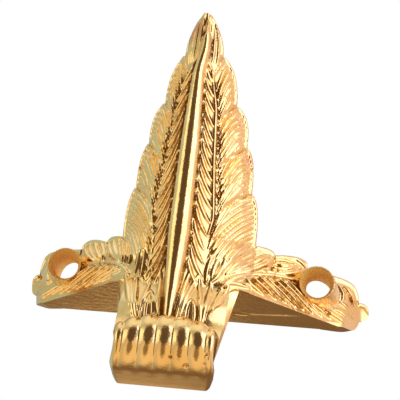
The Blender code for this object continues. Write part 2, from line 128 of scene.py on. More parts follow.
TONGUE_HALVES = [(-8.2, 3.6), (-6.2, 3.85), (-5.3, 4.1), (-4.4, 4.6), (-3.7, 5.1), (-3.0, 5.4), (-1.2, 5.55)]
TONGUE_TOP_HALF = 6.5
TONGUE_END = -8.2
TONGUE_THICKNESS = 0.95
TONGUE_TUCK = 0.9
TONGUE_FRONT = 2.0
TONGUE_ROUND = 0.055
FOLD_END = -5.2
ARCH_DEPTH = 1.3
SCROLL_S = 2.9
SCROLL_Z = -9.25
SCROLL_RADIUS = FOOT_DROP + SCROLL_Z
SCROLL_TURNS = (math.radians(128.0), math.radians(-90.0))
GADROONS = 6
GADROON_DEPTH = 0.28
GADROON_FADE = (math.radians(-100.0), math.radians(-60.0))
ARCH_FADE = (math.radians(-10.0), math.radians(80.0))
END_START = 0.88
ARCH_POWER = 2.6
CORNER_FADE = (0.4, -1.2)
SCROLL_END_DROP = 1.3
NECK_ROWS = [(-0.55, 1.6), (-1.2, 0.6), (-1.9, 0.5), (-2.6, 0.5), (-3.6, 0.5), (-4.6, 0.5), (-5.6, 0.5)]
NECK_HALF = 5.6
SCROLL_HALVES = [(1.0, 5.35), (2.9, 5.2), (4.5, 5.05), (5.9, 4.85)]
END_ROUND = 0.35
CORNER_START = 0.88
CORNER_LIFT = 0.45
SOLE_BACK = -3.8
SOLE_EDGE = 0.7
SOLE_HALVES = [(0.9, 5.2), (-1.2, 5.2)]
SOLE_REAR_HALF = 5.1
FOOT_REAR = [(-3.9, -9.0, 5.1), (-4.1, -6.5, 5.35), (-4.4, -4.0, 5.5), (-4.8, -2.2, 5.6), (-5.0, -0.55, 5.6)]
CHEEK_CENTRE = (-1.0, -10.0)
CHEEK_HALF = 5.0
FOOT_SHIFT = -0.13
FOOT_SKEW = 0.107
BOSS_U = 14.64
BOSS_Z = 2.65
BOSS_RIM_S = -10.1
BOSS_RIM_RADIUS = 2.08
BOSS_BASE_RADIUS = 2.4
BOSS_TAIL = 0.3
HOLE_RADIUS = 1.45
SINK_RADIUS = 1.85
SINK_DEPTH = 1.3
SINK_RIPPLE = 0.012
BEADS = 34.0
NICKS = 64
NICK_DEPTH = 0.11
BORE_LENGTH = 12.0
BOSS_TILT = math.radians(4.5)
BOSS_FAN = math.radians(4.5)

# Mesh density, and how the outline's points crowd toward a stretch's end
GRID_STEP = 0.086
ROW_STEP = 0.104
INSET = 0.09
CELL = 0.5
GRID_HALF = 21.5
LIP_LENGTH = 14.6
LIP_CROWDING = 1.3
LOBE_ROWS = 1.6
LOBE_CROWDING = 1.7
SOFT_REACH = 0.035
PLATE_STEPS = 60
SCROLL_STEPS = 104
SCROLL_COLUMNS = 108
SOLE_EDGE_STEPS = 6
BOSS_SIDES = 96
SINK_RINGS = 16
SHARP_ANGLE = math.radians(60.0)
SAME_PLACE = 1e-7


def smooth(edge0, edge1, value):
    t = np.clip((value - edge0) / (edge1 - edge0), 0.0, 1.0)
    return t * t * (3.0 - 2.0 * t)


def between(stations, at):
    """Straight-line reading of a short list of (position, value)."""
    return np.interp(at, [p for p, _ in stations], [v for _, v in stations])


def point(u, s, z):
    """Foundry frame to the part's own frame, in metres."""
    return Vector(((u - s) / ROOT2, -(u + s) / ROOT2, z)) * MM


def tall_reach(z):
    """Distance from the corner to the tall leaf's edge at a height."""
    z = np.asarray(z, float)
    reach = np.full(z.shape, TALL_NOTCHES[-1][0])
    upper = TIP
    for index, lower in enumerate(TALL_NOTCHES):
        t = np.clip((upper[1] - z) / (upper[1] - lower[1]), 0.0, 1.0)
        power = 2 if index < 2 else 3
        share = 1.0 - (1.0 - t) ** power
        value = upper[0] + (lower[0] - upper[0]) * (np.sqrt(share) if index else share)
        inside = z >= lower[1]
        if index:
            inside &= z < upper[1]
        reach = np.where(inside, value, reach)
        upper = lower
    return reach


def tall_half(z):
    return (tall_reach(np.maximum(z, JOIN_HEIGHT)) + EDGE_THICKNESS) / ROOT2


def lobed_top(lobes, w):
    top = np.full(w.shape, lobes[-1][1] - lobes[-1][4] + lobes[-1][3])
    for start, height, end, rise, fall, sharpness in lobes[::-1]:
        t = np.clip((w - start) / (end - start), 0.0, 1.0)
        drop = fall * (1.0 - np.sqrt(1.0 - t ** sharpness))
        top = np.where(w <= end, height + rise * np.sin(0.5 * np.pi * t) - drop, top)
    return np.where(w <= lobes[0][0], JOIN_HEIGHT, top)


def wing_top(w, side):
    """Height of a side leaf's scalloped upper edge; side is positive for the right one."""
    w, side = np.broadcast_arrays(np.asarray(w, float), side)
    return np.where(side >= 0.0, lobed_top(RIGHT_LOBES, w), lobed_top(LEFT_LOBES, w))


def wing_low(w, side):
    """Height of a side leaf's lower edge: a straight lip, a curl up to the nub, then the tip lobe."""
    w, side = np.broadcast_arrays(np.asarray(w, float), side)
    t = np.clip((w - LIP_END) / (NUB_REACH - LIP_END), 0.0, 1.0)
    curl = LIP_HEIGHT + (NUB_HEIGHT - LIP_HEIGHT) * (LIP_SLOPE * t + (1.0 - LIP_SLOPE) * t ** LIP_CURL)
    t = np.clip((w - NUB_REACH) / (WING_REACH - NUB_REACH), 0.0, 1.0)
    start = NUB_HEIGHT + NUB_LIFT
    end = wing_top(np.full(w.shape, WING_REACH), side) - LEAST_SPAN
    return np.where(w <= NUB_REACH, curl, start + (end - start) * (1.0 - np.sqrt(1.0 - t * t)))


def lip_extra(u):
    return (LIP_THICKNESS - EDGE_THICKNESS) * smooth(*LIP_SWELL, u) * (1.0 - smooth(*LIP_FADE, u))


def lobe_place(w, z):
    """Place on a lobe of the tall leaf: across it from its upper edge, and along it from the stem."""
    stem = between(TALL_STEM, z)
    reach = tall_reach(np.maximum(z, JOIN_HEIGHT))
    r = np.clip((w - stem) / np.maximum(LEAST_WIDTH, reach - stem), 0.0, 1.0)
    above = np.full(w.shape, TIP_HEIGHT + 1.0)
    across = np.full(w.shape, 0.5)
    free = np.ones(w.shape, bool)
    for (_, notch), drop in zip(TALL_NOTCHES, TALL_DROPS):
        edge = notch - drop * (1.0 - np.sqrt(r))
        found = free & (z >= edge)
        across = np.where(found, (above - z) / (above - edge), across)
        free &= ~found
        above = np.where(free, edge, above)
    return np.where(free, np.clip(1.0 - (above - z) / 5.0, 0.5, 1.0), across), r


def wing_stem(w):
    return WING_STEM_RISE * (1.0 - np.exp(-(w - WING_STEM_START) / WING_STEM_BEND))


def wing_place(w, z, side):
    """Place along a side leaf's lobe, 0 to 1."""
    along = np.zeros(w.shape)
    free = np.ones(w.shape, bool)
    top = wing_top(w, side)
    leaned = w + LOBE_LEAN * (top - z) / np.maximum(LEAST_TOP, top)
    for lobes, own in ((RIGHT_LOBES, side >= 0.0), (LEFT_LOBES, side < 0.0)):
        for start, _, end, *_ in lobes:
            found = own & free & (leaned <= end)
            along = np.where(found, (leaned - start) / (end - start), along)
            free &= ~found
    return along


def wing_crown(w, z, side):
    """Swell of a side leaf above its stem, and the shallow trough below it."""
    stem = wing_stem(w)
    along = wing_place(w, z, side)
    swell = CROWN * (CROWN_MEAN - np.abs(2.0 * np.clip(along, 0.0, 1.0) - 1.0) ** 3)
    return np.where(z < stem, -WING_TROUGH * smooth(0.0, 0.5, stem - z), swell * smooth(0.0, 0.7, z - stem))


def thickness(u, z):
    """Thickness square to the box's side, at a place across the corner and a height."""
    u, z = np.broadcast_arrays(np.asarray(u, float), np.asarray(z, float))
    a = np.abs(u)
    w = a * ROOT2 - 1.0
    half = tall_half(z)
    inner = np.maximum(0.0, 1.0 - (a / half) ** 2)
    corner = between([(TAPER_START, CORNER_THICKNESS), (TIP_HEIGHT, TIP_THICKNESS)], z)
    base = EDGE_THICKNESS + (corner - EDGE_THICKNESS) * inner
    top = wing_top(w, u)
    low = wing_low(w, u)
    q = np.clip((z - low) / np.maximum(LEAST_WIDTH, top - low), 0.0, 1.0)
    base = base + lip_extra(a) * (1.0 - q) ** LIP_FLARE
    crown = wing_crown(w, z, u)
    across, along = lobe_place(w, z)
    tall = CROWN * (CROWN_MEAN - np.abs(2.0 * across - 1.0) ** 2.5) * smooth(*LOBE_ROOT, along)
    tall *= smooth(JOIN_HEIGHT - 4.0, JOIN_HEIGHT, z)
    mixed = crown * smooth(4.0, 6.5, a) * (1.0 - smooth(JOIN_HEIGHT - 3.0, JOIN_HEIGHT, z))
    inside = base + tall + mixed * smooth(0.0, 0.1, 1.0 - a / half)
    return np.where(a > half, base + crown * smooth(0.0, 0.25, 1.0 - q), inside)


def rib_offset(z):
    """The rib was cut a little to the right near the tip."""
    return RIB_SHIFT * smooth(*RIB_SHIFT_START, z) * (1.0 - smooth(*RIB_SHIFT_END, z))


def midrib(u, ridge, z):
    """Front of the midrib bead; ridge is s on the corner without it."""
    half = between(RIB_WIDTHS, z)
    a = np.abs(u - rib_offset(z))
    rise = RIB_RISE * (1.0 - smooth(*RIB_FADE, z))
    bead = ridge - half + (half + rise) * np.sqrt(np.maximum(0.0, 1.0 - (a / half) ** 2))
    return np.where(a < half, bead, -np.inf)


def leaf_front(u, z):
    """Outer surface above the seat plate's level, as s, without its relief."""
    flank = ROOT2 * thickness(u, z) - np.abs(u)
    surface = np.maximum(midrib(u, ROOT2 * thickness(np.zeros_like(z), z), z), flank)
    t = np.clip((z - TIP_HEIGHT) / TIP_ROUND + 1.0, 0.0, 1.0)
    return surface - TIP_ROUND * (1.0 - np.sqrt(1.0 - t ** 2))


def arch_flare(z):
    arch = np.clip(1.0 - (LIP_HEIGHT - z) / ARCH_DEPTH, 0.0, 1.0)
    return (TONGUE_TOP_HALF - TONGUE_HALVES[-1][1]) * (1.0 - np.sqrt(1.0 - arch * arch))


def tongue_half(z):
    return between(TONGUE_HALVES, z) + arch_flare(z)


def fold_front(u, z):
    """The foot's front below the leaves, as s: the corner's fold opens out over the scroll."""
    u, z = np.broadcast_arrays(np.asarray(u, float), np.asarray(z, float))
    open_out = smooth(LIP_HEIGHT, FOLD_END, z)
    top = ROOT2 * thickness(u, np.full(u.shape, LIP_HEIGHT)) - np.abs(u)
    return top + (TONGUE_FRONT - TONGUE_ROUND * u * u - top) * open_out


def tongue_front(u, z):
    flank = fold_front(u, z)
    return np.maximum(midrib(u, fold_front(np.zeros_like(u), z), z), flank)


def front(u, z):
    """Outer surface of leaves and tongue, as s, without its relief."""
    return np.where(z >= LIP_HEIGHT, leaf_front(u, np.maximum(z, LIP_HEIGHT)),
                    tongue_front(u, np.minimum(z, LIP_HEIGHT)))


def bump(centre, half, value):
    """A round bump of height 1."""
    return np.maximum(0.0, 1.0 - ((value - centre) / half) ** 2)


class Carving:
    """Rounded ridges laid along strokes, over points given by two flat coordinates."""

    def __init__(self, x, y, seed):
        self.x, self.y = x, y
        self.height = np.zeros(x.shape)
        self.random = np.random.default_rng(seed)

    def line(self, places, half, rise, taper=0.35):
        """A ridge along a list of places, thinner toward both ends."""
        places = np.array(places, float)
        # The ridge thins out over a quarter of its length at each end
        low, high = places.min(0) - half, places.max(0) + half
        near = np.flatnonzero((self.x > low[0]) & (self.x < high[0]) & (self.y > low[1]) & (self.y < high[1]))
        x, y = self.x[near], self.y[near]
        best = np.zeros(x.shape)
        count = len(places) - 1
        for n in range(count):
            (x0, y0), (x1, y1) = places[n], places[n + 1]
            dx, dy = x1 - x0, y1 - y0
            t = np.clip(((x - x0) * dx + (y - y0) * dy) / max(1e-9, dx * dx + dy * dy), 0.0, 1.0)
            gap = (x - x0 - t * dx) ** 2 + (y - y0 - t * dy) ** 2
            along = (n + t) / count
            wide = half * (taper + (1.0 - taper) * np.minimum(1.0, 4.0 * np.minimum(along, 1.0 - along)))
            best = np.maximum(best, np.maximum(0.0, 1.0 - gap / wide ** 2) * np.sqrt(wide / half))
        self.height[near] = np.maximum(self.height[near], rise * best)

    def stroke(self, start, bend, end, half, rise, taper=0.35):
        """A ridge along a curve from start to end that leans toward bend."""
        t = np.linspace(0.0, 1.0, STROKE_PLACES)[:, None]
        shake = self.random.normal(0.0, STROKE_SHAKE, (3, 2))
        half *= self.random.uniform(*STROKE_WIDTHS)
        rise *= self.random.uniform(*STROKE_RISES)
        a, b, c = np.array(start) + shake[0], np.array(bend) + shake[1], np.array(end) + shake[2]
        self.line((1.0 - t) ** 2 * a + 2.0 * t * (1.0 - t) * b + t * t * c, half, rise, taper)


# Strokes: points along one, how far it strays from its drawn place, and its spread of widths and heights
STROKE_PLACES = 13
STROKE_SHAKE = 0.035
STROKE_WIDTHS = (0.85, 1.1)
STROKE_RISES = (0.75, 1.1)
VEIN_HALF = 0.30
VEIN_RISE = 0.31
LOBE_VEIN_RISE = 1.5 * VEIN_RISE
LEAF_STROKE_HALF = 0.32
LEAF_STROKE_RISE = 1.25 * VEIN_RISE
VALLEY_DEPTH = 0.28
VALLEY_TAPER = 0.6
RIM_INSET = 0.26
RIM_HALF = 0.34
RIM_RISE = 0.55 * VEIN_RISE
RIM_TAPER = 0.8
# Between the strokes the surface lies this far below the plain swell. The carving is laid on along s, and
# scaled up because most of the leaf lies at an angle to s
GROUND = 0.55 * VEIN_RISE
CARVING_SCALE = 1.2
# Most depth, in GROUNDs, that a hollow counts with; it sets the strongest painted shade in grooves and pits
HOLLOW_MOST = 1.5
# Groove beside the midrib, with its share of the depth on the left and right; split in the tip leaflet
GROOVE_DEPTH = 0.20
GROOVE_HALF = 0.2
GROOVE_GAP = 0.14
GROOVE_SHARES = (0.6, 0.2)
GROOVE_FADE = (27.5, 29.0)
SPLIT_DEPTH = 0.42
SPLIT_U = 0.06
SPLIT_HALF = 0.36
SPLIT_START = (26.8, 28.0)

# Veins of the tall leaf's lobes below the tip leaflet: count, share of the edge that they end on
LOBE_VEINS = [(6, 0.84), (7, 0.9), (9, 0.92), (9, 0.92)]
LEAST_DROP = 4.0
VEIN_GAP = 0.4
STEM_SPAN = (4.2, 23.5)
# Places of the tip leaflet's strokes across it; the barbs' pitch, fall, reach past the stem and half width
RIGHT_TIP_STROKES = (0.45, 1.0, 1.9)
LEFT_TIP_STROKES = (0.5, 0.85, 1.2, 1.6, 2.0)
RIGHT_BARBS = (1.55, 3.0, -0.1, 0.32)
LEFT_BARBS = (1.4, 4.4, 0.7, 0.28)
BARB_SPAN = (0.6, 25.5)
BARB_SHORT = (26.0, 8.0)

# Strokes of the side leaves: distance from the corner and height, of a start, a bend and an end
RIGHT_STROKES = [
    (2.8, -1.4, 2.6, 0.9, 4.0, 2.4), (3.2, -1.3, 4.9, 0.6, 5.4, 2.7), (3.4, -0.7, 3.6, 0.7, 4.5, 1.9),
    (4.4, 0.0, 5.6, 2.4, 9.6, 4.9), (5.0, 0.2, 7.4, 2.8, 11.2, 5.1), (5.4, 0.3, 8.8, 2.5, 12.3, 4.9),
    (6.4, 0.7, 10.0, 2.3, 12.9, 4.5), (10.9, 2.6, 14.6, 2.6, 18.0, 5.0), (11.1, 3.0, 12.4, 5.1, 16.3, 5.8),
    (16.2, 5.8, 17.6, 5.8, 17.9, 5.1), (12.4, 3.6, 14.4, 3.3, 16.4, 4.9), (12.3, 3.8, 13.7, 5.2, 16.3, 5.0),
    (13.4, 4.2, 14.6, 4.3, 15.4, 4.6), (3.9, -2.0, 5.5, 0.1, 9.1, 1.4), (8.5, 1.2, 12.1, 2.6, 16.7, 2.9),
    (4.3, -1.2, 5.6, -0.5, 8.0, -0.6), (7.5, 0.6, 8.6, 0.0, 10.0, -0.7), (8.8, 1.1, 10.2, 0.6, 12.0, -0.7),
    (9.9, 1.6, 11.4, 1.0, 13.5, -0.7), (11.0, 1.8, 12.8, 1.2, 15.0, -0.7),
    (12.2, 2.1, 14.0, 1.3, 16.3, -0.7), (13.4, 2.3, 15.4, 1.4, 17.7, -0.7),
    (14.8, 2.4, 16.6, 1.3, 19.2, -0.7), (16.4, 1.2, 18.2, 0.7, 20.6, -0.6),
    (20.2, 0.4, 21.7, 0.0, 23.4, -0.7), (21.6, 1.0, 23.6, 0.9, 25.0, -0.1),
    (23.2, 2.2, 25.1, 2.0, 26.1, 1.0), (23.2, 4.6, 24.6, 3.6, 23.6, 2.5), (24.4, 4.7, 26.3, 4.0, 26.3, 2.6),
]
LEFT_STROKES = [
    (3.0, 3.6, 2.6, 1.6, 2.9, -1.0), (4.4, 3.4, 3.6, 1.4, 3.4, -1.2), (5.6, 3.8, 4.6, 1.8, 4.3, -0.6),
    (12.6, 5.0, 11.4, 3.2, 8.4, 1.5), (11.8, 5.1, 10.6, 3.3, 8.2, 1.6), (10.8, 5.0, 9.6, 3.4, 8.0, 1.7),
    (9.9, 4.7, 8.4, 3.1, 7.7, 1.5), (8.8, 4.4, 7.4, 2.8, 7.0, 1.2), (7.4, 4.2, 6.2, 2.6, 6.0, 0.8),
    (17.8, 5.7, 16.6, 4.0, 13.8, 2.8), (16.8, 5.8, 15.5, 3.9, 13.2, 2.8), (15.9, 5.9, 14.5, 4.1, 12.9, 3.0),
    (14.8, 5.7, 13.2, 4.3, 12.6, 2.9), (13.7, 5.4, 12.6, 4.2, 12.0, 2.7), (5.0, -0.6, 8.0, 1.6, 11.7, 2.2),
    (11.6, 2.2, 14.1, 2.9, 16.4, 2.5), (6.4, 0.2, 8.0, 0.4, 9.8, -0.7), (7.8, 0.8, 9.5, 0.6, 11.4, -0.7),
    (9.1, 1.2, 11.0, 0.8, 13.1, -0.7), (10.6, 1.7, 12.6, 1.1, 14.9, -0.7),
    (12.1, 2.0, 14.1, 1.2, 16.7, -0.7), (13.6, 2.2, 15.6, 1.5, 18.6, -0.6),
    (15.0, 2.2, 17.2, 1.5, 20.4, -0.3), (19.6, 0.8, 21.4, 0.4, 22.9, -0.6),
    (22.3, 1.9, 24.4, 1.7, 25.6, 0.6), (24.3, 4.2, 24.9, 3.3, 23.4, 2.2), (26.4, 2.4, 25.6, 2.9, 23.9, 2.7),
]
# Strokes of the tongue: distance across and height, of a start, a bend and an end. One that starts above
# TONGUE_TOP runs on up under the leaves
TONGUE_TOP = -2.8
TONGUE_STROKES = [
    (-5.3, -1.9, -4.6, -3.6, -3.6, -6.8), (-4.6, -2.4, -4.1, -4.4, -3.3, -6.9),
    (-3.9, -2.6, -3.8, -4.4, -3.0, -6.9), (-2.4, -1.6, -2.6, -3.6, -3.1, -5.2),
    (-2.2, -3.0, -3.0, -4.6, -2.9, -6.7), (-2.2, -3.2, -1.5, -4.4, -1.1, -6.5),
    (-2.3, -4.2, -2.4, -5.4, -2.3, -6.7), (-1.9, -4.1, -1.6, -5.2, -1.6, -6.6),
    (-1.5, -1.5, -1.3, -4.3, -0.8, -6.4), (1.5, -1.6, 1.1, -4.4, 0.8, -6.4),
    (2.1, -2.2, 1.4, -4.1, 1.2, -6.4), (2.2, -2.2, 2.9, -3.8, 3.4, -5.3), (2.1, -4.0, 1.6, -5.2, 1.8, -6.6),
    (2.2, -4.0, 2.8, -5.1, 2.6, -6.7), (2.7, -3.6, 3.4, -5.1, 3.1, -6.8), (3.4, -2.6, 3.7, -5.0, 3.4, -7.0),
    (4.6, -2.4, 4.4, -4.6, 3.8, -6.9), (5.2, -1.9, 5.0, -3.6, 4.2, -5.8),
]


def stem_at(z):
    return float(between(TALL_STEM, z))


def tall_rim(carving, high, low, count):
    """The raised edge of one lobe of the tall leaf, from one height down to another."""
    z = np.linspace(high, low, count)
    carving.line(np.column_stack([tall_reach(z) - RIM_INSET, z]), RIM_HALF, RIM_RISE, RIM_TAPER)


def tall_lobe(carving, valleys, index, count, spread):
    """Veins, rim and upper border of one lobe of the tall leaf."""
    (_, high), (_, low) = TALL_NOTCHES[index - 1], TALL_NOTCHES[index]
    fall = TALL_DROPS[index - 1]
    for k in range(count):
        share = (k + 0.5) / count
        end_z = high - (0.05 + spread * share) * (high - low)
        end_w = float(tall_reach(end_z)) - VEIN_GAP
        drop = max(LEAST_DROP, fall) * (0.85 + 0.35 * share)
        start_z = end_z - drop
        start_w = stem_at(start_z) + VEIN_GAP
        bend = (start_w + 0.34 * (end_w - start_w), start_z + 0.62 * drop)
        carving.stroke((start_w, start_z), bend, (end_w, end_z), VEIN_HALF, LOBE_VEIN_RISE, 0.1)
    share = np.linspace(1.0, 0.2, 14)
    edge_w = float(tall_reach(high)) * share + stem_at(high - 3.0) * (1.0 - share)
    edge_z = high - fall * (1.0 - np.sqrt(share))
    valleys.line(np.column_stack([edge_w, edge_z]), 0.22, VALLEY_DEPTH, VALLEY_TAPER)
    carving.line(np.column_stack([edge_w - 0.1, edge_z - 0.42]), 0.26, VEIN_RISE, VALLEY_TAPER)
    tall_rim(carving, high - 0.12, low, 16)


def tall_barbs(carving, pitch, fall, reach_out, half):
    """The row of barbs between the midrib and the stem, which grow shorter toward the tip."""
    for top in np.arange(*BARB_SPAN, pitch):
        rib = ROOT2 * float(between(RIB_WIDTHS, top)) - CORNER_THICKNESS + 0.15
        start = (rib + 0.12, top)
        end_z = top - fall * (0.55 + 0.45 * min(1.0, (BARB_SHORT[0] - top) / BARB_SHORT[1]))
        end = (stem_at(max(end_z, 3.0)) + reach_out, end_z)
        bend = (start[0] + 0.32 * (end[0] - start[0]), top + 0.6 * (end_z - top))
        carving.stroke(start, bend, end, half, VEIN_RISE)


def tall_carving(x, z, side):
    """Veins, rims, stem and barbs of one half of the tall leaf, over (distance along the side, height)."""
    carving = Carving(x, z, 5 if side > 0.0 else 6)
    valleys = Carving(x, z, 1)
    for index, (count, spread) in enumerate(LOBE_VEINS, 1):
        tall_lobe(carving, valleys, index, count, spread)
    tall_rim(carving, TIP_HEIGHT - 0.5, TALL_NOTCHES[0][1], 14)
    for at in RIGHT_TIP_STROKES if side > 0.0 else LEFT_TIP_STROKES:
        carving.stroke((0.75 * at - 0.1, 24.4), (1.05 * at, 27.4), (0.35 * at + 0.1, 30.0), 0.8 * VEIN_HALF,
                       0.8 * VEIN_RISE)
    if side > 0.0:
        stem_z = np.linspace(*STEM_SPAN, 24)
        carving.line(np.column_stack([between(TALL_STEM, stem_z), stem_z]), 0.34, 1.15 * VEIN_RISE, 0.5)
    tall_barbs(carving, *(RIGHT_BARBS if side > 0.0 else LEFT_BARBS))
    return carving.height, valleys.height


def wing_carving(x, z, side):
    """Strokes and rims of one side leaf, over (distance along the side, height)."""
    carving = Carving(x, z, 7 if side > 0.0 else 8)
    valleys = Carving(x, z, 1)
    for *start, bend_w, bend_z, end_w, end_z in RIGHT_STROKES if side > 0.0 else LEFT_STROKES:
        carving.stroke(start, (bend_w, bend_z), (end_w, end_z), LEAF_STROKE_HALF, LEAF_STROKE_RISE)
    for start, _, end, *_ in RIGHT_LOBES if side > 0.0 else LEFT_LOBES:
        rim_w = np.linspace(start + 0.1, end - 0.05, 14)
        rim_z = wing_top(rim_w, np.full(rim_w.shape, side)) - RIM_INSET
        carving.line(np.column_stack([rim_w, rim_z]), RIM_HALF, RIM_RISE, RIM_TAPER)
        if start > 12.0:
            drop = np.linspace(0.0, 0.9, 8)
            top = rim_z[0] + RIM_INSET
            foot = float(wing_stem(start)) + 0.2
            valleys.line(np.column_stack([start - LOBE_LEAN * drop ** 1.5, top + (foot - top) * drop]), 0.2,
                         VALLEY_DEPTH, VALLEY_TAPER)
    return carving.height, valleys.height


def tongue_carving(u, z):
    """Strokes of the tongue, over (distance across, height)."""
    carving = Carving(u, z, 9)
    for start_u, start_z, bend_u, bend_z, end_u, end_z in TONGUE_STROKES:
        if start_z > TONGUE_TOP:
            start_u *= 1.08
            start_z += 1.4
        carving.stroke((start_u, start_z), (bend_u, bend_z), (end_u, end_z), VEIN_HALF, VEIN_RISE)
    return carving.height


def relief(u, z):
    """Height of the carving over the whole outer surface, above and below the bare swell."""
    a = np.abs(u)
    x = a * ROOT2 - thickness(u, z)
    half = tall_half(z)
    tall, wing, tall_valley, wing_valley = np.zeros((4,) + u.shape)
    for side, own in ((1.0, u >= 0.0), (-1.0, u < 0.0)):
        tall[own], tall_valley[own] = tall_carving(x[own], z[own], side)
        wing[own], wing_valley[own] = wing_carving(x[own], z[own], side)
    valley = tall_valley * smooth(JOIN_HEIGHT - 2.0, JOIN_HEIGHT, z) + wing_valley * smooth(6.5, 7.5, a)
    tongue = tongue_carving(u, z)
    low_tall = smooth(JOIN_HEIGHT - 4.5, JOIN_HEIGHT - 3.0, z)
    tall *= np.where(a > half, 0.0, np.maximum(low_tall, 1.0 - smooth(3.0, 4.0, a)))
    low_wing = 1.0 - smooth(JOIN_HEIGHT - 0.8, JOIN_HEIGHT + 0.2, z)
    wing *= np.where(a > half, 1.0, smooth(2.6, 3.4, a) * low_wing)
    upper = np.maximum(tall, wing) * np.maximum(smooth(4.8, 6.0, a), smooth(-2.4, -1.4, z))
    tongue *= (1.0 - smooth(5.4, 6.4, a)) * (1.0 - smooth(-0.4, 0.6, z))
    height = np.maximum(upper, tongue) - GROUND - valley
    rib = between(RIB_WIDTHS, z)
    from_rib = np.abs(u - rib_offset(z))
    off_rib = smooth(rib - 0.04, rib + 0.1, from_rib)
    groove = GROOVE_DEPTH * bump(GROOVE_GAP, GROOVE_HALF, from_rib - rib) * (1.0 - smooth(*GROOVE_FADE, z))
    groove *= np.where(u < 0.0, *GROOVE_SHARES)
    split = SPLIT_DEPTH * bump(SPLIT_U, SPLIT_HALF, u) * smooth(*SPLIT_START, z)
    return height * off_rib - groove - split


def soft_relief(u, z):
    """The carving averaged over a mesh cell, so that narrow grooves don't break up."""
    near = SOFT_REACH
    return sum(relief(u + du, z + dz) for du, dz in ((near, near), (-near, near), (near, -near),
                                                     (-near, -near))) / 4.0


def leaf_edges(lip, side):
    """Lower and upper edge of one side leaf at places across the corner."""
    w_low = np.maximum(0.0, lip * ROOT2 - (EDGE_THICKNESS + lip_extra(lip)))
    low = wing_low(w_low, np.full(lip.shape, side))
    top = wing_top(lip * ROOT2 - EDGE_THICKNESS, np.full(lip.shape, side))
    return low, np.maximum(top, low + LEAST_SPAN)


def half_outline(side):
    """The outline from the tongue's end up one side to the tip, as (distance across, height, stretch)."""
    drop = np.linspace(TONGUE_END, LIP_HEIGHT, int((LIP_HEIGHT - TONGUE_END) / GRID_STEP))
    half = [(float(tongue_half(z)), float(z), "tongue") for z in drop]
    end = (WING_REACH + EDGE_THICKNESS) / ROOT2
    span = np.linspace(0.0, 1.0, int(LIP_LENGTH / GRID_STEP))
    lip = TONGUE_TOP_HALF + (end - TONGUE_TOP_HALF) * (1.0 - (1.0 - span) ** LIP_CROWDING)
    low, top = leaf_edges(lip, side)
    half += [(float(u), float(z), "lip") for u, z in zip(lip[1:], low[1:])]
    half.append((float(end), float(low[-1] + (top[-1] - low[-1]) * 0.5), "lip"))
    join = float(tall_half(JOIN_HEIGHT)) + 0.5 * GRID_STEP
    half += [(float(u), float(z), "lip") for u, z in zip(lip[::-1], top[::-1]) if u > join]
    upper = TIP
    chain = []
    for lower in TALL_NOTCHES:
        rows = max(8, int(LOBE_ROWS * (upper[1] - lower[1]) / GRID_STEP))
        chain += [upper[1] - (upper[1] - lower[1]) * (k / rows) ** LOBE_CROWDING for k in range(rows)]
        upper = lower
    chain.append(JOIN_HEIGHT)
    return half + [(float(tall_half(z)), float(z), "lip") for z in chain[::-1]]


def outline():
    """The outer surface's outline in the (u, z) plane, anticlockwise, with its named stretches."""
    ring = half_outline(1.0) + [(-u, z, name) for u, z, name in half_outline(-1.0)[::-1]]
    half = float(tongue_half(TONGUE_END))
    bottom = np.linspace(-half, half, int(2.0 * half / GRID_STEP))[1:-1]
    return ring + [(float(u), TONGUE_END, "tongue") for u in bottom]


def within(places, edge):
    """Which places lie inside a closed outline."""
    inside = np.zeros(len(places), bool)
    for (x0, y0), (x1, y1) in zip(edge, np.roll(edge, -1, 0)):
        if y0 != y1:
            level = (places[:, 1] > min(y0, y1)) & (places[:, 1] <= max(y0, y1))
            cross = x0 + (places[level, 1] - y0) * (x1 - x0) / (y1 - y0)
            inside[level] ^= places[level, 0] < cross
    return inside


def clear_of(places, fixed, gap):
    """Which places lie no nearer than a gap to any of the fixed ones."""
    cells = {}
    for u, z in fixed:
        cells.setdefault((int(u // CELL), int(z // CELL)), []).append((u, z))
    around = [(i, j) for i in (-1, 0, 1) for j in (-1, 0, 1)]
    keep = np.ones(len(places), bool)
    for n, (u, z) in enumerate(places):
        i, j = int(u // CELL), int(z // CELL)
        near = [spot for di, dj in around for spot in cells.get((i + di, j + dj), ())]
        keep[n] = all((u - eu) ** 2 + (z - ez) ** 2 >= gap ** 2 for eu, ez in near)
    return keep


def front_points():
    """The outline with its points, a second row just inside it and a honeycomb of points between."""
    ring = outline()
    edge = np.array([(u, z) for u, z, _ in ring])
    us = np.arange(-GRID_HALF, GRID_HALF, GRID_STEP)
    grid = []
    for n, z in enumerate(np.arange(TONGUE_END, TIP_HEIGHT, ROW_STEP)):
        line = us + (0.5 * GRID_STEP if n % 2 else 0.0)
        grid.append(np.column_stack([line, np.full(line.shape, z)]))
    grid = np.concatenate(grid)
    grid = grid[within(grid, edge)]
    along = np.roll(edge, -1, 0) - np.roll(edge, 1, 0)
    along /= np.maximum(1e-9, np.linalg.norm(along, axis=1))[:, None]
    inset = edge + np.column_stack([-along[:, 1], along[:, 0]]) * INSET
    gap = np.array([np.min(np.hypot(*(edge - q).T)) for q in inset])
    inset = inset[gap > 0.92 * INSET][::2]
    grid = grid[clear_of(grid, np.concatenate([edge, inset]), 0.6 * GRID_STEP)]
    return ring, np.concatenate([edge, inset, grid])


def tongue_rear(across, z):
    """The tongue's rear behind a place across its front."""
    inner = across - TONGUE_TUCK * (across / float(tongue_half(z)))
    return point(inner, float(fold_front(inner, z)) - TONGUE_THICKNESS, z)


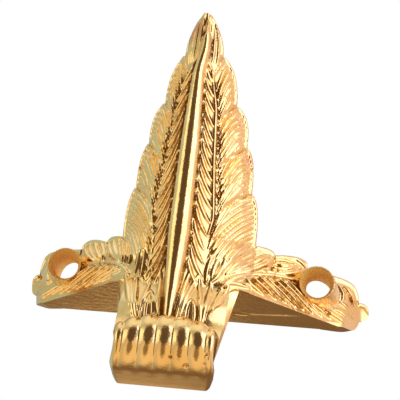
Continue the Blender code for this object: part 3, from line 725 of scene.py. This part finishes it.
def close_rear(mesh, ring, rear):
    """The two faces on the box's sides, then the tongue's rear in rows from its end upward."""
    foot = mesh.verts.new(point(0.0, 0.0, LIP_HEIGHT))
    head = mesh.verts.new(point(0.0, 0.0, TIP_HEIGHT))
    right = [rear[n] for n, (u, _, name) in enumerate(ring) if name == "lip" and u >= 0.0]
    left = [rear[n] for n, (u, _, name) in enumerate(ring) if name == "lip" and u < 0.0]
    mesh.faces.new([foot] + right + [head])
    mesh.faces.new([head] + left + [foot])
    mesh.faces.new([right[-1], left[0], head])
    sides = [(n, u) for n, (u, z, name) in enumerate(ring) if name == "tongue" and z > TONGUE_END]
    up_right = [rear[n] for n, u in sides if u > 0.0]
    up_left = [rear[n] for n, u in sides if u < 0.0][::-1]
    bottom = [(u, n) for n, (u, z, name) in enumerate(ring) if name == "tongue" and z == TONGUE_END]
    previous = [rear[n] for _, n in sorted(bottom)]
    columns = len(previous) - 1
    for left_vert, right_vert in zip(up_left, up_right):
        z = right_vert.co.z / MM
        half = float(tongue_half(z))
        line = [left_vert]
        for i in range(1, columns):
            line.append(mesh.verts.new(tongue_rear(half * (2.0 * i / columns - 1.0), z)))
        line.append(right_vert)
        for i in range(columns):
            mesh.faces.new([previous[i], previous[i + 1], line[i + 1], line[i]])
        previous = line
    mesh.faces.new(previous + [right[0], foot, left[-1]])


def leaf_body():
    """The leaves and the tongue as one closed body."""
    ring, places = front_points()
    count = len(ring)
    verts, _, faces, origins, _, _ = delaunay_2d_cdt(
        [Vector(p) for p in places.tolist()], [], [list(range(count))], 1, 1e-5)
    uz = np.array([tuple(v) for v in verts])
    index_of = {old: new for new, olds in enumerate(origins) for old in olds}
    carved = soft_relief(uz[:, 0], uz[:, 1])
    s = front(uz[:, 0], uz[:, 1]) + carved * CARVING_SCALE
    mesh = bmesh.new()
    # How deep each point lies in the carving; this depth paints shade into the plating colour of the grooves
    hollow = mesh.verts.layers.float.new("hollow")
    made = [mesh.verts.new(point(u, d, z)) for (u, z), d in zip(uz.tolist(), s.tolist())]
    for vert, depth in zip(made, np.clip(-carved / GROUND, 0.0, HOLLOW_MOST).tolist()):
        vert[hollow] = depth
    for face in faces:
        mesh.faces.new([made[i] for i in face])
    rim = [index_of[n] for n in range(count)]
    rear = []
    for n, (u, z, name) in zip(rim, ring):
        made[n][hollow] = 0.0
        if name == "tongue":
            place = tongue_rear(u, z)
        else:
            side = 1.0 if u >= 0.0 else -1.0
            w = max(0.0, (abs(u) - s[n]) / ROOT2)
            place = point(side * w / ROOT2, -w / ROOT2, z)
        rear.append(mesh.verts.new(place))
    for n in range(count):
        follow = (n + 1) % count
        mesh.faces.new([made[rim[n]], rear[n], rear[follow], made[rim[follow]]])
    close_rear(mesh, ring, rear)
    bmesh.ops.remove_doubles(mesh, verts=mesh.verts, dist=SAME_PLACE)
    return mesh


def seat_plate():
    """The flat plate under the box."""
    mesh = bmesh.new()
    us = np.linspace(-PLATE_HALF, PLATE_HALF, 2 * PLATE_STEPS + 1)
    rings = []
    for z, level in ((-PLATE_THICKNESS, LIP_HEIGHT), (0.0, 0.0)):
        inset = PLATE_INSET + PLATE_RIB_INSET * (1.0 - smooth(*PLATE_RIB_SPAN, np.abs(us)))
        depth = ROOT2 * (thickness(us, np.full(us.shape, level)) - inset) - np.abs(us)
        ring = list(zip(us.tolist(), depth.tolist()))
        ring += [(PLATE_REAR_HALF, -PLATE_REAR), (-PLATE_REAR_HALF, -PLATE_REAR)]
        rings.append([mesh.verts.new(point(u, s, z)) for u, s in ring])
    lower, upper = rings
    mesh.faces.new(lower)
    mesh.faces.new(upper[::-1])
    for n in range(len(lower)):
        follow = (n + 1) % len(lower)
        mesh.faces.new([lower[n], lower[follow], upper[follow], upper[n]])
    return mesh


def end_round(f):
    """How far the foot's two ends are drawn in at a place across it, -1 to 1."""
    return END_ROUND * np.maximum(0.0, (np.abs(f) - END_START) / (1.0 - END_START)) ** 2


def gadroons(f, turn):
    """How far the scroll's surface is drawn in at a place across it, -1 to 1, and a turn round it."""
    ridge = GADROON_DEPTH * (1.0 - np.abs(np.cos(0.5 * np.pi * GADROONS * (f + 1.0))))
    ridge *= smooth(*GADROON_FADE, turn)
    arch = SCROLL_END_DROP * np.abs(f) ** ARCH_POWER * smooth(*ARCH_FADE, turn)
    return ridge + arch + end_round(f) + corner_lift(f) * smooth(*CORNER_FADE, turn)


def corner_lift(f):
    """How far the sole's two ends are rounded up at a place across the foot."""
    t = np.maximum(0.0, (np.abs(f) - CORNER_START) / (1.0 - CORNER_START))
    return CORNER_LIFT * (1.0 - np.sqrt(1.0 - t * t))


def foot_body():
    """The foot: its side view carried across, with gadroons round the scroll and rounded ends."""
    mesh = bmesh.new()
    profile = [(float(fold_front(0.0, z)) - inset, z, NECK_HALF + float(arch_flare(z)), None)
               for z, inset in NECK_ROWS]
    start, end = SCROLL_TURNS
    for turn in np.linspace(start, end, SCROLL_STEPS + 1):
        s = SCROLL_S + SCROLL_RADIUS * math.cos(turn)
        z = SCROLL_Z + SCROLL_RADIUS * math.sin(turn)
        profile.append((s, z, float(between(SCROLL_HALVES, s)), float(turn)))
    profile += [(s, -FOOT_DROP, half, None) for s, half in SOLE_HALVES]
    for turn in np.linspace(math.radians(-90.0), math.radians(-180.0), SOLE_EDGE_STEPS + 1):
        profile.append((SOLE_BACK + SOLE_EDGE * (1.0 + math.cos(turn)),
                        -FOOT_DROP + SOLE_EDGE * (1.0 + math.sin(turn)), SOLE_REAR_HALF, None))
    profile += [(s, z, half, None) for s, z, half in FOOT_REAR]
    rings = []
    for f in np.linspace(-1.0, 1.0, SCROLL_COLUMNS + 1):
        ring = []
        for order, (s, z, half, turn) in enumerate(profile):
            if turn is not None:
                drawn_in = float(gadroons(f, turn))
                s -= drawn_in * math.cos(turn)
                z -= drawn_in * math.sin(turn)
            elif z < SCROLL_Z:
                z += float(corner_lift(f) + end_round(f))
            u = f * half + FOOT_SHIFT + FOOT_SKEW * s
            if order < len(NECK_ROWS):
                s += float(fold_front(u, z)) - float(fold_front(0.0, z))
            ring.append(mesh.verts.new(point(u, s, z)))
        rings.append(ring)
    total = len(profile)
    for a, b in zip(rings, rings[1:]):
        for n in range(total):
            follow = (n + 1) % total
            mesh.faces.new([a[n], a[follow], b[follow], b[n]])
    s, z = CHEEK_CENTRE
    for ring, half in ((rings[0], -CHEEK_HALF), (rings[-1], CHEEK_HALF)):
        centre = mesh.verts.new(point(half + FOOT_SHIFT + FOOT_SKEW * s, s, z))
        for n in range(total):
            mesh.faces.new([ring[n], ring[(n + 1) % total], centre])
    return mesh


def turned(stations, side, tail=None, beads=None):
    """A closed round body along one boss from (s, radius) stations; its last ring may lie on u + s = tail.

    beads is a function of (angle, station) that gives how far a point stands out from its ring.
    """
    mesh = bmesh.new()
    rings = []
    for order, (s, radius) in enumerate(stations):
        ring = []
        for n in range(BOSS_SIDES):
            angle = 2.0 * math.pi * n / BOSS_SIDES
            out = radius + (beads(angle, order) if beads else 0.0)
            across = out * math.cos(angle)
            depth = s
            if tail is not None and order == len(stations) - 1:
                depth = tail - BOSS_U - across
            back = BOSS_RIM_S - depth
            u = side * (BOSS_U + across + math.tan(BOSS_FAN) * back)
            z = BOSS_Z + out * math.sin(angle) + math.tan(BOSS_TILT) * back
            ring.append(mesh.verts.new(point(u, depth, z)))
        rings.append(ring)
    for a, b in zip(rings, rings[1:]):
        for n in range(BOSS_SIDES):
            follow = (n + 1) % BOSS_SIDES
            mesh.faces.new([a[n], a[follow], b[follow], b[n]])
    mesh.faces.new(rings[0])
    mesh.faces.new(rings[-1][::-1])
    return mesh


def rim_beads(seed):
    """The rim's beads and nicks, as the file left them."""
    nicks = np.random.default_rng(seed).uniform(0.4, 1.0, NICKS)

    def stand_out(angle, order):
        if order not in (1, 2, 3):
            return 0.0
        place = angle / (2.0 * math.pi) * BEADS
        return -NICK_DEPTH * nicks[int(place) % NICKS] * abs(math.sin(math.pi * place)) ** 0.7
    return stand_out


def boss_stations():
    """The boss from its rounded rim to its base inside the leaf."""
    rim = BOSS_RIM_RADIUS
    return [(BOSS_RIM_S, rim - 0.12), (BOSS_RIM_S - 0.03, rim - 0.03), (BOSS_RIM_S - 0.12, rim),
            (BOSS_RIM_S - 0.3, rim + 0.01), (BOSS_RIM_S - 1.2, rim + 0.06), (0.0, BOSS_BASE_RADIUS)]


def bore_stations():
    """The screw hole with its countersink, whose wall is slightly ridged from the drill."""
    stations = [(BOSS_RIM_S + 0.6, SINK_RADIUS + 0.25), (BOSS_RIM_S, SINK_RADIUS + 0.06)]
    for k in range(SINK_RINGS + 1):
        share = k / SINK_RINGS
        ripple = SINK_RIPPLE if k % 2 else 0.0
        stations.append((BOSS_RIM_S - 0.1 - (SINK_DEPTH - 0.1) * share,
                         SINK_RADIUS + (HOLE_RADIUS - SINK_RADIUS) * share + ripple))
    return stations + [(BOSS_RIM_S - BORE_LENGTH, HOLE_RADIUS)]


def make_object(name, mesh):
    mesh.normal_update()
    bmesh.ops.recalc_face_normals(mesh, faces=mesh.faces)
    bmesh.ops.triangulate(mesh, faces=[f for f in mesh.faces if len(f.verts) > 3], ngon_method="EAR_CLIP")
    for face in mesh.faces:
        face.smooth = True
    data = bpy.data.meshes.new(name)
    mesh.to_mesh(data)
    mesh.free()
    obj = bpy.data.objects.new(name, data)
    scene.collection.objects.link(obj)
    return obj


def combine(target, others, operation):
    """Add bodies to the casting or cut them away, and leave one mesh."""
    group = bpy.data.collections.new(operation.lower())
    scene.collection.children.link(group)
    for other in others:
        scene.collection.objects.unlink(other)
        group.objects.link(other)
    modifier = target.modifiers.new(group.name, "BOOLEAN")
    modifier.operation = operation
    modifier.solver = "MANIFOLD"
    modifier.operand_type = "COLLECTION"
    modifier.collection = group
    bpy.context.view_layer.update()
    result = bpy.data.meshes.new_from_object(target.evaluated_get(bpy.context.evaluated_depsgraph_get()))
    target.modifiers.remove(modifier)
    target.data = result
    for other in others:
        bpy.data.objects.remove(other)
    bpy.data.collections.remove(group)


# Casting faults as (u, s, z, radius, depth), and reddish marks in the plating as (u, s, z, radius, strength)
PITS = [
    (2.73, 4.35, -11.57, 0.28, 0.25), (1.24, 4.95, -10.97, 0.20, 0.18), (4.72, 5.36, -10.52, 0.24, 0.20),
    (2.70, 1.20, -12.19, 0.28, 0.22), (4.55, 4.70, -11.30, 0.16, 0.15), (5.75, -4.91, 17.27, 0.26, 0.20),
    (5.90, -5.00, 16.60, 0.22, 0.18), (6.58, -5.57, 14.08, 0.30, 0.22), (-6.45, -5.40, 13.50, 0.24, 0.18),
    (4.81, 0.18, -5.27, 0.30, 0.18), (4.70, 0.40, -6.10, 0.24, 0.15),
]
STAINS = [(-19.90, -19.18, 1.37, 0.9, 1.0), (-6.45, -5.40, 13.50, 0.6, 0.8), (6.30, -5.40, 15.20, 1.1, 0.8),
          (-1.2, -0.6, 28.9, 2.4, 0.9)]
# Flat hollow under the seat plate: u, s, and its half sizes across, along and upward
DIMPLE = (6.45, -11.46, 1.05, 0.65, 0.12)


def dimple():
    """A flat hollow under the seat plate."""
    mesh = bmesh.new()
    bmesh.ops.create_icosphere(mesh, subdivisions=3, radius=1.0)
    u, s, wide, deep, high = DIMPLE
    for vert in mesh.verts:
        x, y, z = vert.co
        vert.co = point(u + wide * x, s + deep * y, -PLATE_THICKNESS + high * z)
    return mesh


def vectors(items, name):
    """One vector of each vertex or face, as the rows of an array."""
    values = np.zeros(3 * len(items))
    items.foreach_get(name, values)
    return values.reshape(-1, 3)


def mark(data, name, domain, values):
    data.attributes.new(name, "FLOAT", domain).data.foreach_set("value", values)


def mark_faults(data):
    """Pits, and values on vertices and faces that tell holes, hollows and marks from the rest. The hollows'
    value later darkens the plating there as painted shade.
    """
    face_x, face_y, face_z = vectors(data.polygons, "center").T / MM
    face_u, back = (face_x - face_y) / ROOT2, BOSS_RIM_S + (face_x + face_y) / ROOT2
    away = np.hypot(np.abs(face_u) - BOSS_U - math.tan(BOSS_FAN) * back,
                    face_z - BOSS_Z - math.tan(BOSS_TILT) * back)
    mark(data, "sink", "FACE", 1.0 * (away < SINK_RADIUS + 0.08))
    mark(data, "worn", "FACE", 1.0 * (face_z < 0.1 - FOOT_DROP))
    spots = vectors(data.vertices, "co")
    normals = vectors(data.vertices, "normal")
    x, y, z = spots.T / MM
    u, s = (x - y) / ROOT2, -(x + y) / ROOT2

    def gap(spot, radius):
        return np.sqrt((u - spot[0]) ** 2 + (s - spot[1]) ** 2 + (z - spot[2]) ** 2) / radius
    hollow = np.zeros(len(data.vertices))
    data.attributes["hollow"].data.foreach_get("value", hollow)
    for *spot, radius, depth in PITS:
        share = np.maximum(0.0, 1.0 - gap(spot, radius) ** 2)
        spots = spots - normals * (share * depth * MM)[:, None]
        # Pits also get painted shade in their plating colour
        hollow = np.maximum(hollow, HOLLOW_MOST * np.sqrt(share))
    stain = np.zeros(len(data.vertices))
    for *spot, radius, strength in STAINS:
        stain = np.maximum(stain, strength * (1.0 - smooth(0.4, 1.0, gap(spot, radius))))
    data.vertices.foreach_set("co", spots.reshape(-1))
    data.attributes["hollow"].data.foreach_set("value", hollow)
    mark(data, "stain", "POINT", stain)


# Plating: tints of its cloudy variation, of countersinks and reddish marks, and the painted shade of hollows
PLATING_DARK = (0.94, 0.64, 0.27, 1.0)
PLATING_LIGHT = (1.0, 0.75, 0.38, 1.0)
# Painted shade: a darker, more orange gold in the grooves and pits of the carving
HOLLOW_SHADE_TINT = (0.80, 0.52, 0.20, 1.0)
SINK_TINT = (1.0, 0.63, 0.17, 1.0)
STAIN_TINT = (0.80, 0.38, 0.18, 1.0)
PLATING_ROUGHNESS = (0.12, 0.22)
WORN_ROUGHNESS = 0.3
SINK_ROUGHNESS = 0.6
SINK_METAL = 0.15
# Sockets of a Mix node for numbers and for colours: the first, the second and the result
MIX_NUMBERS = (2, 3, 0)
MIX_COLOURS = (6, 7, 2)


def node_tree(tree):
    """A function that adds a node to a tree, sets its values and links its inputs."""
    def add(kind, inputs=(), **settings):
        node = tree.nodes.new(kind)
        for key, value in settings.items():
            setattr(node, key, value)
        for socket, value in dict(inputs).items():
            if isinstance(value, bpy.types.NodeSocket):
                tree.links.new(value, node.inputs[socket])
            else:
                node.inputs[socket].default_value = value
        return node
    return add


def blend(add, share, first, second, sockets):
    """What a Mix node gives between two numbers or two colours."""
    kind = "RGBA" if sockets == MIX_COLOURS else "FLOAT"
    node = add("ShaderNodeMix", {0: share, sockets[0]: first, sockets[1]: second}, data_type=kind)
    return node.outputs[sockets[2]]


def gold_material():
    """Polished gold plating over a cast surface."""
    material = bpy.data.materials.new("gold_plating")
    material.use_nodes = True
    tree = material.node_tree
    shader = tree.nodes["Principled BSDF"]
    add = node_tree(tree)
    place = add("ShaderNodeTexCoord").outputs["Object"]
    hollow, sink, worn, stain = [add("ShaderNodeAttribute", attribute_name=name).outputs["Fac"]
                                 for name in ("hollow", "sink", "worn", "stain")]
    cloudy = add("ShaderNodeTexNoise", {"Vector": place, "Scale": 350.0, "Detail": 3.0}).outputs["Fac"]
    plating = add("ShaderNodeValToRGB", {"Fac": cloudy})
    dark, light = plating.color_ramp.elements
    dark.position, dark.color = 0.35, PLATING_DARK
    light.position, light.color = 0.65, PLATING_LIGHT
    # Painted shade: the deeper a point lies in a hollow, the darker its colour
    deep = add("ShaderNodeMapRange", {"Value": hollow, "From Min": 0.5, "From Max": HOLLOW_MOST})
    colour = blend(add, deep.outputs["Result"], plating.outputs["Color"], HOLLOW_SHADE_TINT, MIX_COLOURS)
    colour = blend(add, sink, colour, SINK_TINT, MIX_COLOURS)
    colour = blend(add, stain, colour, STAIN_TINT, MIX_COLOURS)
    low, high = PLATING_ROUGHNESS
    rough = add("ShaderNodeMapRange", {"Value": cloudy, "To Min": low, "To Max": high}).outputs["Result"]
    rough = blend(add, worn, rough, WORN_ROUGHNESS, MIX_NUMBERS)
    rough = blend(add, sink, rough, SINK_ROUGHNESS, MIX_NUMBERS)
    plated = add("ShaderNodeMapRange", {"Value": sink, "To Min": 1.0, "To Max": SINK_METAL}).outputs["Result"]
    grain = add("ShaderNodeTexNoise", {"Vector": place, "Scale": 5200.0, "Detail": 2.0})
    fine = add("ShaderNodeBump", {"Height": grain.outputs["Fac"], "Strength": 0.4, "Distance": 0.00004})
    lumps = add("ShaderNodeTexNoise", {"Vector": place, "Scale": 1300.0, "Detail": 1.0})
    coarse = add("ShaderNodeBump", {"Height": lumps.outputs["Fac"], "Normal": fine.outputs["Normal"],
                                    "Strength": 0.5, "Distance": 0.00006})
    for socket, value in (("Base Color", colour), ("Roughness", rough), ("Metallic", plated),
                          ("Normal", coarse.outputs["Normal"])):
        tree.links.new(value, shader.inputs[socket])
    return material


def camera_axes():
    """Right, up and backward directions of the photograph's camera, in the part's frame, and its place."""
    turn, rise, roll = CAMERA_TURN, CAMERA_RISE, CAMERA_ROLL

    def row(x, y, z):
        return point(x, -y, z)
    back = Vector((math.sin(turn) * math.cos(rise), -math.cos(turn) * math.cos(rise), math.sin(rise)))
    right = Vector((math.cos(turn), math.sin(turn), 0.0))
    up = Vector((-math.sin(turn) * math.sin(rise), math.cos(turn) * math.sin(rise), math.cos(rise)))
    place = row(*(right * CAMERA_AIM[0] + up * CAMERA_AIM[1] + back * CAMERA_DISTANCE))
    leaned_right = row(*(right * math.cos(roll) + up * math.sin(roll))).normalized()
    leaned_up = row(*(up * math.cos(roll) - right * math.sin(roll))).normalized()
    return leaned_right, leaned_up, row(*back).normalized(), place


def add_camera():
    """The photograph's camera."""
    right, up, back, place = camera_axes()
    matrix = Matrix((right, up, back)).transposed().to_4x4()
    matrix.translation = place
    data = bpy.data.cameras.new("camera")
    data.lens = CAMERA_LENS
    data.sensor_width = CAMERA_SENSOR
    data.clip_start = CAMERA_CLIP
    camera = bpy.data.objects.new("camera", data)
    camera.matrix_world = matrix
    scene.collection.objects.link(camera)
    scene.camera = camera


# The studio as the casting sees it. Each patch of light is its direction as (right, up, toward the camera),
# its half width and softness in degrees, and its colour; a later one covers an earlier one
STUDIO_BASE = (0.55, 0.48, 0.36)
STUDIO = [
    ((0.0, -0.6, 0.8), 55.0, 35.0, (0.95, 0.68, 0.38)),
    ((0.0, -0.6, -0.8), 50.0, 22.0, (0.20, 0.12, 0.06)),
    ((-0.1, -0.49, -0.87), 5.0, 3.0, (0.95, 0.66, 0.33)),
    ((-0.9, 0.1, -0.5), 45.0, 20.0, (0.52, 0.58, 0.48)),
    ((0.85, 0.1, -0.55), 30.0, 20.0, (0.92, 0.70, 0.62)),
    ((0.87, 0.46, 0.26), 34.0, 9.0, (1.9, 1.92, 2.1)),
    ((-0.2, -0.25, 0.95), 26.0, 9.0, (0.30, 0.19, 0.08)),
    ((-0.03, 0.72, 0.67), 44.0, 5.0, (0.12, 0.075, 0.04)),
    ((-0.90, 0.43, 0.10), 20.0, 7.0, (1.5, 1.32, 1.0)),
    ((0.0, 0.9, -0.5), 30.0, 15.0, (1.0, 0.98, 0.88)),
]


def add_world():
    """White behind the object, and the studio in its reflections."""
    world = bpy.data.worlds.new("studio")
    scene.world = world
    world.use_nodes = True
    tree = world.node_tree
    tree.nodes.clear()
    add = node_tree(tree)
    right, up, back, _ = camera_axes()
    direction = add("ShaderNodeTexCoord").outputs["Generated"]
    colour = (*STUDIO_BASE, 1.0)
    for aim, wide, soft, tint in STUDIO:
        axis = (right * aim[0] + up * aim[1] + back * aim[2]).normalized()
        dot = add("ShaderNodeVectorMath", {0: direction, 1: axis}, operation="DOT_PRODUCT")
        share = add("ShaderNodeMapRange", {
            "Value": dot.outputs["Value"], "From Min": math.cos(math.radians(wide + soft)),
            "From Max": math.cos(math.radians(max(0.0, wide - soft)))}, interpolation_type="SMOOTHERSTEP")
        colour = blend(add, share.outputs["Result"], colour, (*tint, 1.0), MIX_COLOURS)
    studio = add("ShaderNodeBackground", {"Color": colour, "Strength": 1.0})
    paper = add("ShaderNodeBackground", {"Color": (1.0, 1.0, 1.0, 1.0), "Strength": 1.0})
    seen = add("ShaderNodeLightPath").outputs["Is Camera Ray"]
    both = add("ShaderNodeMixShader", {0: seen, 1: studio.outputs[0], 2: paper.outputs[0]})
    add("ShaderNodeOutputWorld", {"Surface": both.outputs[0]})


def add_floor():
    """A pale floor far below, out of the photograph's view and out of the reflections."""
    mesh = bmesh.new()
    reach = FLOOR_REACH * MM
    corners = [(-reach, -reach), (reach, -reach), (reach, reach), (-reach, reach)]
    mesh.faces.new([mesh.verts.new((x, y, FLOOR_Z * MM)) for x, y in corners])
    floor = make_object("floor", mesh)
    material = bpy.data.materials.new("floor")
    material.use_nodes = True
    shader = material.node_tree.nodes["Principled BSDF"]
    shader.inputs["Base Color"].default_value = FLOOR_TINT
    shader.inputs["Roughness"].default_value = 0.8
    floor.data.materials.append(material)
    floor.visible_glossy = False


casting = make_object("casting", leaf_body())
parts = [make_object("seat_plate", seat_plate()), make_object("foot", foot_body())]
for side in (1.0, -1.0):
    parts.append(make_object("boss", turned(boss_stations(), side, BOSS_TAIL, rim_beads(int(3 + side)))))
combine(casting, parts, "UNION")
bores = [make_object("bore", turned(bore_stations(), side)) for side in (1.0, -1.0)]
combine(casting, bores + [make_object("dimple", dimple())], "DIFFERENCE")
mark_faults(casting.data)
casting.data.set_sharp_from_angle(angle=SHARP_ANGLE)
casting.data.materials.clear()
casting.data.materials.append(gold_material())
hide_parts("box_corner")
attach(casting, "root")
add_floor()
add_camera()
add_world()
scene.view_settings.view_transform = "Standard"
